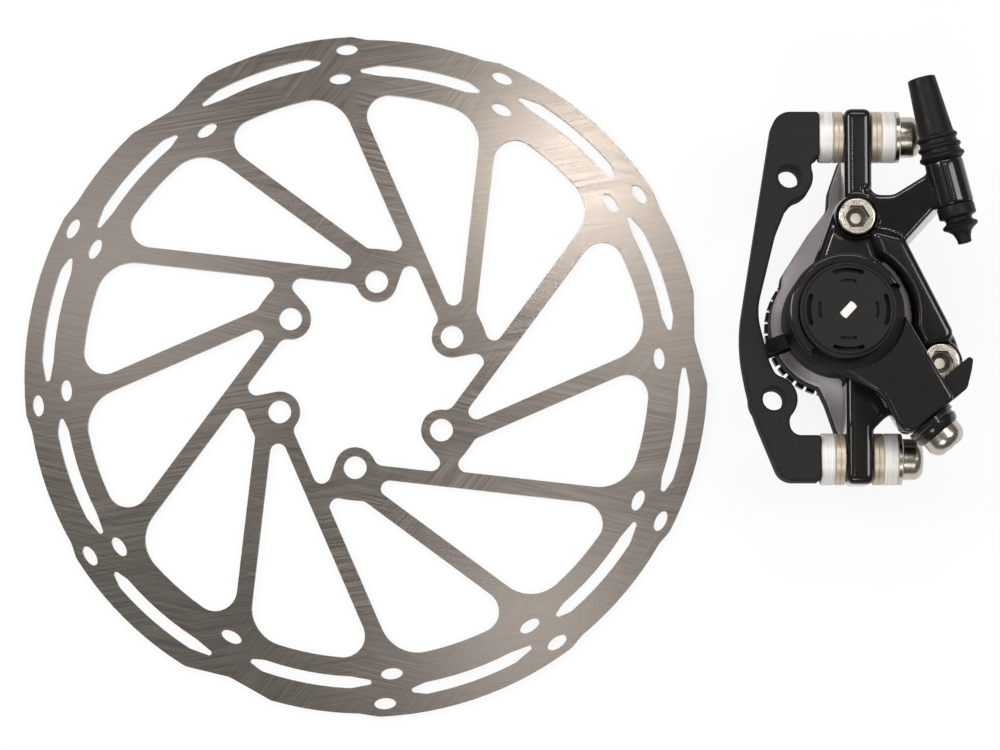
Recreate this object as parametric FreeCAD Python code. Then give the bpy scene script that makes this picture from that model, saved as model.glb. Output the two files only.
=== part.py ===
# Bicycle disc brake: a six-bolt rotor and a cable-pull caliper on its mount bracket,
# laid out flat side by side. Millimetres. The origin is the rotor's centre on the floor.
import FreeCAD, Part
import math
import os
from FreeCAD import Vector

# Rotor
rotor_thickness = 1.85
rotor_radius = 80.0
low_track_drop = 0.8
notch_drop = 2.6
notch_angle = -17.6
rim_blend = 5.0
bolt_circle = 44.0
bolt_count = 6
bolt_hole = 5.3
first_bolt_angle = 23.6
ear_radius = 4.8
ear_blend = 2.4
hub_edge = 20.85
pocket_blend = 2.0
spoke_count = 12
spoke_offset = 22.15
spoke_width = 3.9
window_inset = 13.7
window_corner = 5.0
window_shoulder = 9.0
window_tip = 1.9
boss_ring_radius = 29.7
slot_width = 2.65
slot_span = 16.6
slot_lead = 3.6
slot_trail = 5.8
slot_shoulder = 4.0
slot_tip = 0.55
high_slot_inset = 5.4
low_slot_inset = 8.0
rim_hole_inset = 3.0
rim_hole_length = 5.0
rim_hole_width = 2.5
inner_hole_inset = 9.8
notch_hole_drop = 1.4
low_slot_angle = -4.5
high_slot_angle = 25.6
inner_hole_angles = (-20.5, 11.5)
notch_count = 3
rim_tracks = [
    (8.0, 23.0, low_track_drop),
    (26.5, 61.0, 0.0),
    (63.7, 84.0, low_track_drop),
    (86.5, 112.5, 0.0),
]
rim_hole_leads = (27.5, 59.5, 87.5)

# Place of the caliper and stack of its main levels
pivot_x = 109.2
pivot_y = 10.6
inner_knob_height = 5.4
detent_thickness = 0.5
inboard_thickness = 8.5
rotor_gap = 4.8
barrel_height = 17.6
body_height = 11.8
arm_gap = 0.4
running_gap = 0.3
fit = 0.05

# Post mount, washers and bracket
post_spacing = 74.0
post_middle = 4.9
post_bolt_radius = 3.0
post_thread_depth = 8.0
ear_left = 0.7
ear_thickness = 6.3
ear_overhang = 6.0
ear_edge = 1.6
ear_slot_travel = 2.6
concave_thickness = 2.2
convex_thickness = 3.4
washer_radius = 5.9
washer_bore = 3.3
seat_sphere = 24.0
dome_rise = 0.25
flange_radius = 5.9
flange_thickness = 1.0
head_radius = 4.7
head_height = 4.8
head_rounding = 2.2
hex_key = 5.0
hex_depth = 3.0
bracket_thickness = 11.4
bracket_end_wall = 5.2
bracket_blend = 2.6
bracket_chamfer = 0.5
mount_spacing = 51.0
mount_tilt = 4.3
mount_middle_x = -13.75
mount_middle_y = 6.7
mount_hole_radius = 2.5
mount_lobe = 5.4
mount_chamfer = 0.6

# Housing halves
barrel_radius = 13.2
barrel_bore = 11.6
roof_thickness = 2.2
body_edge = 1.4
inboard_radius = 14.5
inboard_edge = 0.9
pad_inset = 8.0
flank_rise = 2.4
flank_bore = 16.0
limb_edge = 0.55
limb_climb = 25.0
limb_angle = 28.6
limb_root = (8.5, 22.7)
limb_rise = 0.6
body_bolt_places = [(3.3, 22.7), (22.1, -10.5)]
body_bolt_radius = 3.0
body_bolt_head = 4.3
body_bolt_head_height = 5.0
body_bolt_rounding = 0.5
boss_wall = 0.7
boss_rise = 1.0
counterbore_depth = 4.0
counterbore_room = 0.3
bolt_tip_gap = 1.0

# Cable stop and its boots
cable_tilt = 14.3
cable_x = 22.5
cable_y = 34.8
cable_height = 37.0
stop_radius = 4.4
stop_length = 10.5
stop_spigot = 3.4
stop_spigot_length = 4.0
housing_bore = 2.6
housing_depth = 9.0
cable_bore = 1.1
boot_length = 19.5
boot_end_radius = 3.2
boot_rib_radius = 5.2
boot_rib_pitch = 2.2
boot_ribs = 3
boot_rib_drop = 0.25
boot_groove = 0.6
nipple_collar = 4.3
nipple_spigot = 2.3
nipple_lap = 2.0
nipple_tip = 1.5
nipple_groove = 1.2
nipple_length = 8.8

# Brake arm and cable clamp
arm_hub_radius = 13.2
arm_thickness = 6.8
arm_floor = 2.8
arm_angle = -50.5
arm_reach = 30.4
arm_right = 5.9
arm_left = 7.6
arm_waist = 5.9
arm_shoulder = 2.2
arm_corner = 1.2
arm_block = 8.0
crescent_width = 2.8
crescent_span = 150.0
arm_edge = 0.9
arm_end_depth = 3.0
guide_reach = 15.4
guide_thickness = 4.4
guide_width = 5.2
guide_lap = 2.0
guide_corner = 0.8
clamp_offset = -1.0
clamp_thickness = 3.6
clamp_radius = 5.8
clamp_groove = 0.5
clamp_bolt_radius = 2.5
clamp_bolt_depth = 8.0
clamp_head_radius = 4.65
clamp_head_height = 4.6
clamp_head_rounding = 3.0

# Knobs
outer_knob_radius = 10.8
outer_knob_height = 6.3
outer_knob_step = 0.7
knob_edge = 0.5
mark_radius = 6.5
mark_span = 26.0
mark_width = 0.8
mark_depth = 1.0
grip_radius = 8.9
grip_span = 40.0
grip_width = 1.0
grip_depth = 2.4
screw_radius = 2.0
screw_flat = 1.9
screw_slot_angle = 47.0
inner_knob_radius = 14.4
inner_stem_radius = 4.6
tooth_count = 36
tooth_height = 1.5
tooth_width = 2.0
tooth_margin = 0.8
dish_wall = 2.4
dish_depth = 1.4
grip_bar = 3.2

# Pads, cams and balls
pad_radius = 11.1
lining_radius = 9.6
lining_thickness = 2.4
plate_thickness = 1.8
pad_recess = 0.2
foot_thickness = 1.8
foot_radius = 9.0
tab_width = 3.4
tab_reach = 18.0
tab_corner = 1.2
tab_angle = 201.0
thrust_thickness = 2.1
thrust_radius = 10.0
cam_thickness = 2.2
spindle_radius = 6.15
ball_radius = 2.0
ball_count = 3
ball_circle = 8.8
ball_sink = 0.8
cam_turn = 35.0
cage_thickness = 1.0

# Outlines about the pivot, as corners (x, y, rounding)
bow_shoulder = -15.2
bow_foot = -13.9
bow_neck = -11.8
bow_lap = 3.0
bow_back = [(-23.6, -5.5, 40.0), (-20.8, -20.5, 60.0)]
bow_front = [(-16.6, -10.2, 3.0), (-19.5, 1.0, 15.0), (-15.2, 18.4, 12.0), (-12.7, 24.6, 2.0)]
bow_end_corner = 4.2
post_corner = 0.9
web_left = [(-6.8, 10.4, 1.5), (-3.0, -11.4, 1.5), (0.7, -13.4, 1.5)]
web_right = [(14.0, 18.2, 2.0), (9.4, 26.4, 2.5)]
flank_inside = [(5.6, 20.4, 1.2), (9.4, 10.0, 3.0)]
flank_corner = (3.7, 5.3)
web_corner = 2.4
limb_foot = [(4.6, 29.8, 0.7), (6.6, 29.8, 0.7), (7.6, 28.2, 2.0), (11.6, 28.0, 3.0), (19.6, 32.8, 1.2),
             (24.3, 26.3, 1.2), (15.1, 16.3, 1.2), (9.2, 19.1, 1.5)]
limb_head = [(4.6, 29.4, 0.7), (6.4, 29.4, 0.7), (7.4, 27.6, 2.0), (11.6, 27.4, 3.0), (19.6, 32.2, 1.2),
             (23.4, 27.2, 1.2), (13.8, 17.6, 1.2), (9.2, 19.6, 1.5)]
wings = [(6.0, 38.8, 1.4), (1.2, 38.8, 1.4), (-1.5, 31.0, 3.0), (-1.8, 26.8, 3.0), (-6.6, 20.6, 4.0),
         (-12.6, 11.2, 4.0), (-14.0, 0.0, 4.0), (-10.2, -11.4, 4.0), (-4.4, -14.4, 3.0), (-2.4, -18.6, 4.0),
         (0.1, -25.8, 1.2), (6.4, -25.8, 1.2), (12.0, -14.0, 3.0), (10.0, 14.0, 3.0)]

# Rotor radii worked out from the sizes above
window_radius = rotor_radius - window_inset
high_slot_radius = rotor_radius - high_slot_inset
low_slot_radius = rotor_radius - low_slot_inset
rim_hole_radius = rotor_radius - rim_hole_inset
inner_hole_radius = rotor_radius - inner_hole_inset

# Heights worked out from the sizes above
inboard_floor = inner_knob_height + detent_thickness
slot_low = inboard_floor + inboard_thickness
slot_high = slot_low + rotor_gap
barrel_top = slot_high + barrel_height
roof_low = barrel_top - roof_thickness
body_top = slot_high + body_height
post_height = slot_high + body_height / 2
boss_top = body_top + boss_rise
arm_low = barrel_top + arm_gap
arm_top = arm_low + arm_thickness
knob_low = arm_low + arm_floor + running_gap
knob_top = knob_low + outer_knob_height
outer_plate_low = slot_high + pad_recess + lining_thickness
outer_foot_low = outer_plate_low + plate_thickness
thrust_low = outer_foot_low + foot_thickness
fixed_cam_low = roof_low - cam_thickness
ball_height = fixed_cam_low + ball_sink - ball_radius
drive_cam_top = ball_height - ball_radius + ball_sink
drive_cam_low = drive_cam_top - cam_thickness
inner_plate_top = slot_low - pad_recess - lining_thickness
inner_foot_top = inner_plate_top - plate_thickness
inner_foot_low = inner_foot_top - foot_thickness
pad_track = rotor_radius - pad_inset
rotor_room = pad_track + pad_radius + running_gap

# Places worked out from the sizes above
ear_right = ear_left + ear_thickness
post_face = ear_left - concave_thickness - convex_thickness
upper_post = post_middle + post_spacing / 2
lower_post = post_middle - post_spacing / 2
Z = Vector(0, 0, 1)
X = Vector(1, 0, 0)
ORIGIN = Vector(0, 0, 0)


def at(angle, radius, z=0.0):
    """Point at an angle in degrees and a radius from the z axis."""
    turn = math.radians(angle)
    return Vector(radius * math.cos(turn), radius * math.sin(turn), z)


def rod(radius, start, end):
    """Cylinder between two points."""
    run = end - start
    return Part.makeCylinder(radius, run.Length, start, run)


def disc(radius, low, high, x=0.0, y=0.0):
    """Upright cylinder between two heights."""
    return rod(radius, Vector(x, y, low), Vector(x, y, high))


def ring(outer, inner, low, high):
    """Upright tube about the z axis."""
    return disc(outer, low, high).cut(disc(inner, low, high))


def block(x0, x1, y0, y1, low, high):
    """Box between two corners."""
    return Part.makeBox(x1 - x0, y1 - y0, high - low, Vector(x0, y0, low))


def rounded(corners):
    """Flat face through corners (x, y, radius), with an arc at each corner."""
    count = len(corners)
    spots = [Vector(x, y, 0) for x, y, radius in corners]
    arcs = []
    for i in range(count):
        back = (spots[i - 1] - spots[i]).normalize()
        ahead = (spots[(i + 1) % count] - spots[i]).normalize()
        half = back.getAngle(ahead) / 2
        radius = corners[i][2]
        reach = radius / math.tan(half)
        middle = spots[i] + (back + ahead).normalize() * (radius / math.sin(half) - radius)
        arcs.append((spots[i] + back * reach, middle, spots[i] + ahead * reach))
    edges = []
    for i in range(count):
        start, middle, end = arcs[i]
        edges.append(Part.Arc(start, middle, end).toShape())
        edges.append(Part.LineSegment(end, arcs[(i + 1) % count][0]).toShape())
    return Part.Face(Part.Wire(edges))


def polygon(points):
    """Flat face with sharp corners."""
    return Part.Face(Part.makePolygon(points + points[:1]))


def slab(face, low, high):
    """Prism of a flat face between two heights."""
    return face.translated(Vector(0, 0, low)).extrude(Vector(0, 0, high - low))


def spun(points):
    """Solid turned about the z axis from (radius, height) points."""
    return polygon([Vector(r, 0, z) for r, z in points]).revolve(ORIGIN, Z, 360)


def softened(shape, radius, height):
    """Round the edges that lie at one height."""
    edges = [e for e in shape.Edges if abs(e.BoundBox.ZMin - height) < 1e-6
             and abs(e.BoundBox.ZMax - height) < 1e-6]
    return shape.makeFillet(radius, edges)


def upright_edges(shape, least, most):
    """Straight upright edges that stand between two distances from the z axis."""
    found = []
    for edge in shape.Edges:
        if edge.BoundBox.ZLength > edge.Length - 1e-6:
            foot = edge.Vertexes[0].Point
            if least < math.hypot(foot.x, foot.y) < most:
                found.append(edge)
    return found


def foot_x(edge):
    """Distance of an edge's first end along x."""
    return edge.Vertexes[0].Point.x


def turned(shape, angle):
    """Copy turned about the z axis."""
    copy = shape.copy()
    copy.rotate(ORIGIN, Z, angle)
    return copy


def aimed(shape, place, direction):
    """Copy of a shape made along z, turned to a direction and moved to its place."""
    copy = shape.copy()
    copy.Placement = FreeCAD.Placement(place, FreeCAD.Rotation(Z, direction))
    return copy


def hexagon(across, low, high):
    """Upright hexagonal prism about the z axis."""
    points = [at(60 * i, across / math.sqrt(3)) for i in range(6)]
    return slab(polygon(points), low, high)


def joined(shapes):
    """One solid from touching ones."""
    return shapes[0].multiFuse(shapes[1:]).removeSplitter()


def arc_slot(radius, angle, span, width, low, high):
    """Curved bar with round ends along a circle about the z axis."""
    half = width / 2
    first = angle - span / 2
    last = angle + span / 2
    cap = math.degrees(half / radius)
    arcs = [
        Part.Arc(at(first, radius + half), at(angle, radius + half), at(last, radius + half)),
        Part.Arc(at(last, radius + half), at(last + cap, radius), at(last, radius - half)),
        Part.Arc(at(last, radius - half), at(angle, radius - half), at(first, radius - half)),
        Part.Arc(at(first, radius - half), at(first - cap, radius), at(first, radius + half)),
    ]
    return slab(Part.Face(Part.Wire([arc.toShape() for arc in arcs])), low, high)


def track_slot(radius, angle):
    """Curved opening in the rotor's track, drawn to a rounded point at each end."""
    low = radius - slot_width / 2
    high = radius + slot_width / 2
    first = angle - slot_span / 2
    last = angle + slot_span / 2
    first_tip = at(first - slot_lead, radius)
    last_tip = at(last + slot_trail, radius)
    edges = [
        Part.Arc(at(first, high), at(angle, high), at(last, high)).toShape(),
        Part.makeLine(at(last, high), last_tip),
        Part.makeLine(last_tip, at(last, low)),
        Part.Arc(at(last, low), at(angle, low), at(first, low)).toShape(),
        Part.makeLine(at(first, low), first_tip),
        Part.makeLine(first_tip, at(first, high)),
    ]
    opening = slab(Part.Face(Part.Wire(edges)), 0, rotor_thickness)
    opening = opening.makeFillet(slot_tip, upright_edges(opening, radius - fit, radius + fit))
    shoulders = upright_edges(opening, low - fit, low + fit) + upright_edges(opening, high - fit, high + fit)
    return opening.makeFillet(slot_shoulder, shoulders)


def rim_hole(radius, angle):
    """Oval opening in the rotor with its length along the rim."""
    middle = at(angle, radius)
    long_end = middle + at(angle + 90, rim_hole_length / 2)
    short_end = middle + at(angle, rim_hole_width / 2)
    oval = Part.Ellipse(long_end, short_end, middle)
    return slab(Part.Face(Part.Wire(oval.toShape())), 0, rotor_thickness)


def rotor_blank():
    """Plain rotor plate: high and low tracks joined by ramps, with a shallow notch in each third."""
    deep = rotor_radius - notch_drop
    pitch = 360.0 / notch_count
    edges = []
    for i in range(notch_count):
        notch = notch_angle + i * pitch
        last = at(notch, deep)
        for start, end, drop in rim_tracks:
            radius = rotor_radius - drop
            first = at(notch + start, radius)
            edges.append(Part.makeLine(last, first))
            last = at(notch + end, radius)
            edges.append(Part.Arc(first, at(notch + (start + end) / 2, radius), last).toShape())
        edges.append(Part.makeLine(last, at(notch + pitch, deep)))
    plate = slab(Part.Face(Part.Wire(edges)), 0, rotor_thickness)
    return plate.makeFillet(rim_blend, upright_edges(plate, deep - fit, rotor_radius + fit))


def rotor_window(inner_radius):
    """Opening between one spoke and its neighbour."""
    step = math.radians(360.0 / spoke_count)
    near = spoke_offset + spoke_width / 2
    far = spoke_offset - spoke_width / 2
    tip = Vector(near, (near * math.cos(step) - far) / math.sin(step), 0)
    length = 2 * rotor_radius
    along = Vector(math.sin(step), math.cos(step), 0)
    wedge = polygon([tip, tip + along * length, tip + Vector(0, length, 0)])
    rim = disc(window_radius, 0, rotor_thickness)
    opening = slab(wedge, 0, rotor_thickness).common(rim)
    if inner_radius:
        opening = opening.cut(disc(inner_radius, 0, rotor_thickness))
    middle = window_radius / 2 + spoke_offset / 2
    opening = opening.makeFillet(window_tip, upright_edges(opening, 0, middle))
    corners = upright_edges(opening, window_radius - fit, length)
    opening = opening.makeFillet(window_corner, [min(corners, key=foot_x)])
    corners = upright_edges(opening, window_radius - fit, length)
    return opening.makeFillet(window_shoulder, [max(corners, key=foot_x)])


def hub_opening():
    """Opening inside the hub, with a pocket beside each bolt ear."""
    pitch = 360.0 / bolt_count
    bolt_radius = bolt_circle / 2
    lean = math.degrees(math.asin(ear_radius / bolt_radius))
    foot = math.sqrt(bolt_radius ** 2 - ear_radius ** 2)
    pocket = hub_edge / math.cos(math.radians(pitch - lean))
    corners = []
    for i in range(bolt_count):
        ear = i * pitch
        corners += [at(ear - lean, foot), at(ear, bolt_radius), at(ear, hub_edge)]
        corners.append(at(ear + pitch - lean, pocket))
    opening = slab(polygon(corners), 0, rotor_thickness)
    opening = opening.makeFillet(pocket_blend, upright_edges(opening, pocket - fit, pocket + fit))
    for i in range(bolt_count):
        ear = at(i * pitch, bolt_radius)
        opening = opening.cut(disc(ear_radius, 0, rotor_thickness, ear.x, ear.y))
    blends = []
    for edge in upright_edges(opening, 0, bolt_radius):
        spot = edge.Vertexes[0].Point
        beside = math.degrees(math.atan2(spot.y, spot.x)) % pitch
        if beside < pitch / 2:
            blends.append(edge)
    return opening.makeFillet(ear_blend, blends)


def make_rotor():
    """Rotor with a stepped rim, slotted track, leaning spokes and eared hub."""
    top = rotor_thickness
    pitch = 360.0 / spoke_count
    cutters = [hub_opening()]
    for i in range(spoke_count):
        cutters.append(turned(rotor_window(boss_ring_radius if i % 2 else 0), i * pitch))
    for i in range(bolt_count):
        bolt = i * 360.0 / bolt_count
        ear = at(bolt, bolt_circle / 2)
        cutters.append(disc(bolt_hole / 2, 0, top, ear.x, ear.y))
        cutters.append(track_slot(low_slot_radius, bolt + low_slot_angle))
        cutters.append(track_slot(high_slot_radius, bolt + high_slot_angle))
        drops = (notch_hole_drop if i % 2 == 0 else 0, 0)
        for angle, drop in zip(inner_hole_angles, drops):
            cutters.append(rim_hole(inner_hole_radius - drop, bolt + angle))
    for i in range(notch_count):
        for lead in rim_hole_leads:
            cutters.append(rim_hole(rim_hole_radius, notch_angle + i * 360.0 / notch_count + lead))
    return turned(rotor_blank().cut(cutters), first_bolt_angle)


def mount_holes():
    """Middles of the two bracket holes for the frame."""
    lean = math.radians(mount_tilt)
    reach = mount_spacing / 2
    dx = reach * math.sin(lean)
    dy = reach * math.cos(lean)
    return [(mount_middle_x + dx, mount_middle_y + dy), (mount_middle_x - dx, mount_middle_y - dy)]


def make_bracket():
    """Bow-shaped bracket with a threaded post at each end and two frame holes."""
    low = slot_high + running_gap
    high = low + bracket_thickness
    (upper_x, upper_y), (lower_x, lower_y) = mount_holes()
    top = upper_post + bracket_end_wall
    bottom = lower_post - bracket_end_wall
    inner_top = upper_post - bracket_end_wall
    inner_bottom = lower_post + bracket_end_wall
    bow = rounded([
        (post_face, top, post_corner),
        (bow_shoulder, top, bow_end_corner),
        *bow_back,
        (bow_foot, bottom, bow_end_corner),
        (post_face, bottom, post_corner),
        (post_face, inner_bottom, post_corner),
        (bow_neck, inner_bottom, post_corner),
        (lower_x + bow_lap, lower_y, post_corner),
        *bow_front,
        (upper_x + bow_lap, upper_y - bow_lap, post_corner / 2),
        (upper_x + bow_lap, inner_top, post_corner / 2),
        (post_face, inner_top, post_corner),
    ])
    lobes = [Part.Face(Part.Wire(Part.makeCircle(mount_lobe, Vector(x, y, 0))))
             for x, y in mount_holes()]
    outline = joined([bow] + lobes).Faces[0]
    blended = outline.makeOffset2D(bracket_blend).makeOffset2D(-bracket_blend)
    bracket = slab(blended.Faces[0], low, high)
    rims = [e for e in bracket.Edges if e.BoundBox.ZLength < 1e-6]
    bracket = bracket.makeChamfer(bracket_chamfer, rims)
    for x, y in mount_holes():
        bracket = bracket.cut(disc(mount_hole_radius, low, high, x, y))
        for rim, inward in ((low, 1), (high, -1)):
            cone = Part.makeCone(mount_hole_radius + mount_chamfer, mount_hole_radius,
                                 mount_chamfer, Vector(x, y, rim), Vector(0, 0, inward))
            bracket = bracket.cut(cone)
    for y in (upper_post, lower_post):
        face = Vector(post_face, y, post_height)
        bracket = bracket.cut(rod(post_bolt_radius + fit, face - X * (post_thread_depth + 1), face))
    return bracket


def make_convex_washer():
    """Washer with a domed side, made upwards from its flat side."""
    rim = convex_thickness - dome_rise
    washer = disc(washer_radius, 0, convex_thickness + concave_thickness)
    middle = rim - math.sqrt(seat_sphere ** 2 - washer_radius ** 2)
    dome = Part.makeSphere(seat_sphere, Vector(0, 0, middle))
    washer = washer.common(dome.fuse(disc(washer_radius, 0, rim)))
    return washer.cut(disc(washer_bore, 0, convex_thickness + concave_thickness))


def make_concave_washer():
    """Washer with a dished side, made upwards from the level of the other washer's flat side."""
    total = convex_thickness + concave_thickness
    rim = convex_thickness - dome_rise + fit
    washer = disc(washer_radius, rim, total).cut(disc(washer_bore, 0, total))
    middle = rim - math.sqrt(seat_sphere ** 2 - washer_radius ** 2)
    return washer.cut(Part.makeSphere(seat_sphere, Vector(0, 0, middle)))


def washer_places():
    """Flat-side middle and direction of each washer pair."""
    span = concave_thickness + convex_thickness
    places = []
    for y in (upper_post, lower_post):
        places.append((Vector(post_face, y, post_height), X))
        places.append((Vector(ear_right + span, y, post_height), X * -1))
    return places


def make_mount_bolt(y):
    """Button-head bolt that clamps the caliper ear to the bracket post."""
    shank = post_thread_depth + ear_right - post_face + concave_thickness + convex_thickness
    bolt = joined([
        disc(post_bolt_radius, -shank, 0),
        disc(flange_radius, 0, flange_thickness),
        softened(disc(head_radius, 0, flange_thickness + head_height), head_rounding,
                 flange_thickness + head_height),
    ])
    top = flange_thickness + head_height
    bolt = bolt.cut(hexagon(hex_key, top - hex_depth, top))
    return aimed(bolt, Vector(ear_right + concave_thickness + convex_thickness, y, post_height), X)


def make_body_bolt(place):
    """Cap bolt that holds the housing halves together."""
    seat = boss_top - counterbore_depth
    top = seat + body_bolt_head_height
    head = softened(disc(body_bolt_head, seat, top), body_bolt_rounding, top)
    bolt = joined([head, disc(body_bolt_radius, inboard_floor + bolt_tip_gap, seat)])
    bolt = bolt.cut(hexagon(hex_key, top - hex_depth, top))
    return bolt.translated(Vector(place[0], place[1], 0))


def body_outline(inset):
    """Outline of the bolted body behind the rotor, drawn in by an inset."""
    boss = body_bolt_head + boss_wall + counterbore_room
    web_foot = lower_post + washer_radius + 2 * running_gap
    (first_x, first_y), (second_x, second_y) = body_bolt_places
    flank_x, flank_y = flank_corner
    web = rounded([
        (first_x - boss + fit, first_y + boss / 4, web_corner),
        *web_left,
        (ear_left, web_foot, post_corner),
        (ear_right, web_foot, post_corner),
        (ear_right + web_corner, web_foot + web_corner, web_corner),
        (second_x - boss / 4, second_y - boss, web_corner),
        (second_x + boss, second_y, web_corner),
        (second_x + flank_x, second_y + flank_y, web_corner),
        *web_right,
        (first_x, first_y + boss, web_corner),
    ])
    bosses = [Part.Face(Part.Wire(Part.makeCircle(boss, Vector(x, y, 0)))) for x, y in body_bolt_places]
    outline = joined([web] + bosses).Faces[0]
    blended = outline.makeOffset2D(body_edge).makeOffset2D(-body_edge - inset)
    return blended.Faces[0]


def rotor_space(low, high):
    """Room for the rotor in its working place, reaching into the caliper."""
    middle = at(tab_angle, pad_track)
    return disc(rotor_room, low, high, middle.x, middle.y)


def tab_channel(low, high):
    """Room for a pad's pull tab."""
    half = tab_width / 2 + running_gap
    return turned(block(lining_radius, barrel_radius + inboard_radius, -half, half, low, high), tab_angle)


def cable_point(along):
    """Point on the cable's line, measured up from the top of the cable stop."""
    return Vector(cable_x, cable_y, cable_height) + at(90 + cable_tilt, along)


def cable_turned(points):
    """Solid turned about the cable's line from (radius, distance) points."""
    return aimed(spun(points), cable_point(0), at(90 + cable_tilt, 1))


def make_ear(y, root):
    """Mounting ear with a blunt, rounded end past its bolt."""
    end = y + math.copysign(ear_overhang, y - root)
    low, high = sorted((end, root))
    bar = block(ear_left, ear_right, low, high, slot_high, body_top)
    rims = [e for e in bar.Edges if e.BoundBox.YLength > fit or abs(e.BoundBox.YMin - root) > fit]
    return bar.makeFillet(ear_edge, rims)


def ear_slot(y):
    """Slotted bolt hole that lets the caliper be centred on the rotor."""
    radius = post_bolt_radius + running_gap
    lift = Vector(0, 0, ear_slot_travel / 2)
    start = Vector(ear_left, y, post_height)
    reach = X * ear_thickness
    middle = block(ear_left, ear_right, y - radius, y + radius,
                   post_height - lift.z, post_height + lift.z)
    return [rod(radius, start + lift, start + lift + reach),
            rod(radius, start - lift, start - lift + reach), middle]


def make_limb():
    """Limb that climbs from the bolted body to the cable stop."""
    foot = rounded(limb_foot).OuterWire.translated(Vector(0, 0, slot_high + body_edge))
    head = rounded(limb_head).OuterWire.translated(Vector(0, 0, cable_height + stop_radius / 2))
    limb = Part.makeLoft([foot, head], True, True)
    above = block(-cable_y, cable_y, -cable_y, cable_y, 0, cable_y)
    above.rotate(ORIGIN, Vector(0, 1, 0), -limb_climb)
    above.rotate(ORIGIN, Z, limb_angle)
    above.translate(Vector(limb_root[0], limb_root[1], body_top + limb_rise))
    limb = limb.cut(above)
    crest = max(limb.Faces, key=lambda face: face.CenterOfMass.z)
    return limb.makeFillet(limb_edge, crest.Edges)


def make_outboard_housing():
    """Outboard half: barrel, ears, bolted body, flank rib and cable stop."""
    body = softened(slab(body_outline(0), slot_high, body_top), body_edge, body_top)
    bridge = slab(body_outline(0), slot_low, slot_high).cut(rotor_space(slot_low, slot_high))
    barrel = softened(disc(barrel_radius, slot_high, barrel_top), body_edge / 2, barrel_top)
    (first_x, first_y), (second_x, second_y) = body_bolt_places
    flank_x, flank_y = flank_corner
    flank = rounded([
        (second_x + flank_x, second_y + flank_y, web_corner),
        web_right[0],
        *flank_inside,
        (second_x - flank_x, second_y + flank_y / 2, web_corner),
    ])
    flank_top = body_top + flank_rise
    rib = slab(flank, body_top - body_edge, flank_top).cut(disc(flank_bore, body_top, flank_top))
    rib = softened(rib, body_edge, flank_top)
    stop = joined([
        rod(stop_radius, cable_point(-stop_length), cable_point(0)),
        rod(stop_spigot, cable_point(0), cable_point(stop_spigot_length)),
        rod(nipple_spigot, cable_point(-stop_length - nipple_lap), cable_point(-stop_length)),
    ])
    boss = body_bolt_head + boss_wall
    bosses = [disc(boss, body_top - body_edge, boss_top, x, y) for x, y in body_bolt_places]
    ears = [make_ear(upper_post, first_y), make_ear(lower_post, web_left[-1][1])]
    housing = joined([body, bridge, barrel, rib, make_limb(), stop] + bosses + ears)
    cutters = [
        disc(barrel_bore, slot_high, roof_low),
        disc(spindle_radius + running_gap, roof_low, barrel_top),
        tab_channel(slot_high, outer_foot_low + running_gap),
        rod(housing_bore, cable_point(stop_spigot_length - housing_depth), cable_point(stop_spigot_length)),
        rod(cable_bore, cable_point(-stop_length - nipple_lap), cable_point(0)),
    ]
    for x, y in body_bolt_places:
        cutters.append(disc(body_bolt_radius + fit, slot_low, boss_top, x, y))
        cutters.append(disc(body_bolt_head + counterbore_room, boss_top - counterbore_depth, knob_top, x, y))
    for y in (upper_post, lower_post):
        cutters += ear_slot(y)
    return housing.cut(cutters).removeSplitter()


def make_inboard_housing():
    """Inboard half with a flat machined face towards the rotor."""
    main = disc(inboard_radius + inboard_edge, inboard_floor, slot_low)
    body = slab(body_outline(running_gap), inboard_floor, slot_low)
    half = joined([slab(rounded(wings), inboard_floor, slot_low), main, body])
    half = softened(half, inboard_edge, slot_low)
    half = half.cut([
        disc(barrel_bore, inner_foot_low - running_gap, slot_low),
        disc(inner_stem_radius + running_gap, inboard_floor, slot_low),
        tab_channel(inner_foot_top - running_gap, slot_low),
    ])
    holes = [disc(body_bolt_radius + fit, inboard_floor, slot_low, x, y) for x, y in body_bolt_places]
    return half.cut(holes).removeSplitter()


def make_boot():
    """Ribbed rubber boot over the outer cable's end."""
    step = boot_rib_pitch / 6
    ribs = []
    for i in range(boot_ribs):
        low = step * (1 + 6 * i)
        crest = boot_rib_radius - boot_rib_drop * i
        valley = crest - boot_groove
        ribs += [(crest, low), (crest, low + 3 * step), (valley, low + 4 * step), (valley, low + 5 * step)]
    outer = [(boot_rib_radius - boot_groove, 0)] + ribs
    outer += [(boot_end_radius, boot_length - step), (boot_end_radius - step, boot_length)]
    inner = [(housing_bore, boot_length), (housing_bore, stop_spigot_length + fit)]
    inner += [(stop_spigot + fit, stop_spigot_length + fit), (stop_spigot + fit, 0)]
    return cable_turned(outer + inner)


def make_nipple():
    """Small flared boot where the bare cable leaves the stop."""
    start = -stop_length
    neck = nipple_collar - nipple_groove
    lip = nipple_collar - nipple_groove / 6
    points = [(nipple_spigot + fit, start), (nipple_collar, start)]
    steps = [(nipple_collar, 0.3), (neck, 0.34), (neck, 0.43), (lip, 0.5), (lip, 0.57),
             (nipple_spigot, 0.66), (nipple_tip + fit, 0.82), (nipple_tip, 1.0), (cable_bore, 1.0)]
    points += [(radius, start - share * nipple_length) for radius, share in steps]
    points += [(cable_bore, start - nipple_lap - fit), (nipple_spigot + fit, start - nipple_lap - fit)]
    return cable_turned(points)


def arm_turned(shape):
    """Shape drawn along x, turned to the arm's direction."""
    return turned(shape, arm_angle)


def arm_point(along, z):
    """Point on the clamp bolt's line at a distance along the arm."""
    return turned(Part.Vertex(Vector(along, clamp_offset, z)), arm_angle).Point


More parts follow.
